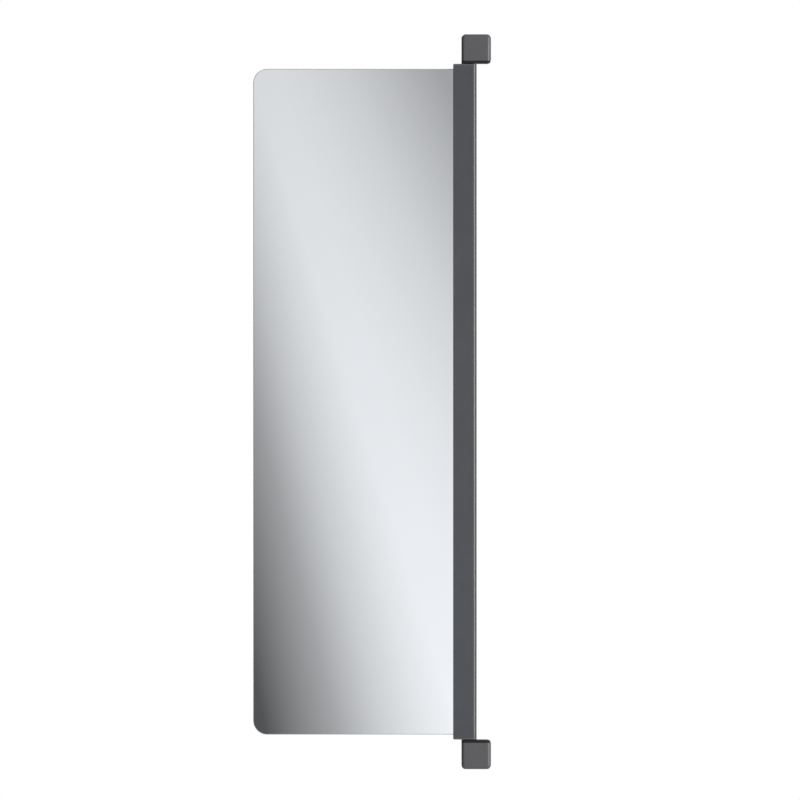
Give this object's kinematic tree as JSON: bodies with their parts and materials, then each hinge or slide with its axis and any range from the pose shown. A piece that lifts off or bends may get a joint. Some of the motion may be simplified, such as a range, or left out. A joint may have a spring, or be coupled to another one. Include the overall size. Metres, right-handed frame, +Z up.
{
  "type": "pull-out wardrobe mirror",
  "caption": "Tall round-cornered mirror held by one edge in an upright, swivelling between two heads on full-extension ball slides screwed to a wardrobe's side wall.",
  "frame": {"origin": "middle of the rectangle of four wall screws, on the plane of the wardrobe's side wall", "axes": "+Z up, +X out of the back of the slides into the side wall, +Y into the wardrobe; the mirror faces -Y"},
  "size_m": [0.3573, 0.472, 1.104],
  "materials": {
    "slide_steel": "zinc plated, rolled, satin",
    "cage_steel": "plain pressed sheet",
    "ball_steel": "polished",
    "bumper_rubber": "matt",
    "bracket_metal": "die-cast, black",
    "head_coat": "anthracite, fine grain",
    "screw_steel": "zinc plated",
    "pin_steel": "ground",
    "washer_plastic": "smooth",
    "bush_plastic": "smooth",
    "upright_coat": "anthracite powder coat on aluminium",
    "cap_plastic": "anthracite, fine grain",
    "mirror": "polished",
    "safety_film": "satin film",
    "seal_rubber": "matt"
  },
  "bodies": {
    "wall_rails": {"top_outer_rail": "slide_steel", "top_rail_bumper": "bumper_rubber", "bottom_outer_rail": "slide_steel", "bottom_rail_bumper": "bumper_rubber"},
    "outer_cages": {"top_outer_cage": "cage_steel", "top_outer_balls": "ball_steel", "bottom_outer_cage": "cage_steel", "bottom_outer_balls": "ball_steel"},
    "middle_rails": {"top_middle_rail": "slide_steel", "bottom_middle_rail": "slide_steel"},
    "inner_cages": {"top_inner_cage": "cage_steel", "top_inner_balls": "ball_steel", "bottom_inner_cage": "cage_steel", "bottom_inner_balls": "ball_steel"},
    "carriage": {"top_inner_rail": "slide_steel", "top_head_bracket": "bracket_metal", "top_head_cover": "head_coat", "top_rail_screws": "screw_steel", "top_cover_screws": "screw_steel", "top_pivot_pin": "pin_steel", "top_pin_grub_screw": "screw_steel", "top_stop_pin": "pin_steel", "top_pivot_washer": "washer_plastic", "bottom_inner_rail": "slide_steel", "bottom_head_bracket": "bracket_metal", "bottom_head_cover": "head_coat", "bottom_rail_screws": "screw_steel", "bottom_cover_screws": "screw_steel", "bottom_pivot_pin": "pin_steel", "bottom_pin_grub_screw": "screw_steel", "bottom_stop_pin": "pin_steel", "bottom_pivot_washer": "washer_plastic"},
    "mirror_leaf": {"upright_profile": "upright_coat", "mirror_glass": "mirror", "mirror_film": "safety_film", "glazing_seal": "seal_rubber", "top_end_cap": "cap_plastic", "top_cap_screws": "screw_steel", "top_pivot_bush": "bush_plastic", "bottom_end_cap": "cap_plastic", "bottom_cap_screws": "screw_steel", "bottom_pivot_bush": "bush_plastic"}
  },
  "joints": [
    {"name": "pull_out", "type": "slide", "parent": "wall_rails", "child": "carriage", "axis": [0, -1, 0], "range_m": [0, 0.4]},
    {"name": "middle_run", "type": "slide", "parent": "wall_rails", "child": "middle_rails", "axis": [0, -1, 0], "range_m": [0, 0.2]},
    {"name": "outer_cage_run", "type": "slide", "parent": "wall_rails", "child": "outer_cages", "axis": [0, -1, 0], "range_m": [0, 0.1]},
    {"name": "inner_cage_run", "type": "slide", "parent": "wall_rails", "child": "inner_cages", "axis": [0, -1, 0], "range_m": [0, 0.3]},
    {"name": "swivel", "type": "hinge", "parent": "carriage", "child": "mirror_leaf", "pos_m": [-0.033, -0.259, 0], "axis": [0, 0, 1], "range_deg": [-90, 90]}
  ],
  "couplings": [
    {"joint": "middle_run", "follows": "pull_out", "ratio": 0.5},
    {"joint": "outer_cage_run", "follows": "pull_out", "ratio": 0.25},
    {"joint": "inner_cage_run", "follows": "pull_out", "ratio": 0.75}
  ]
}
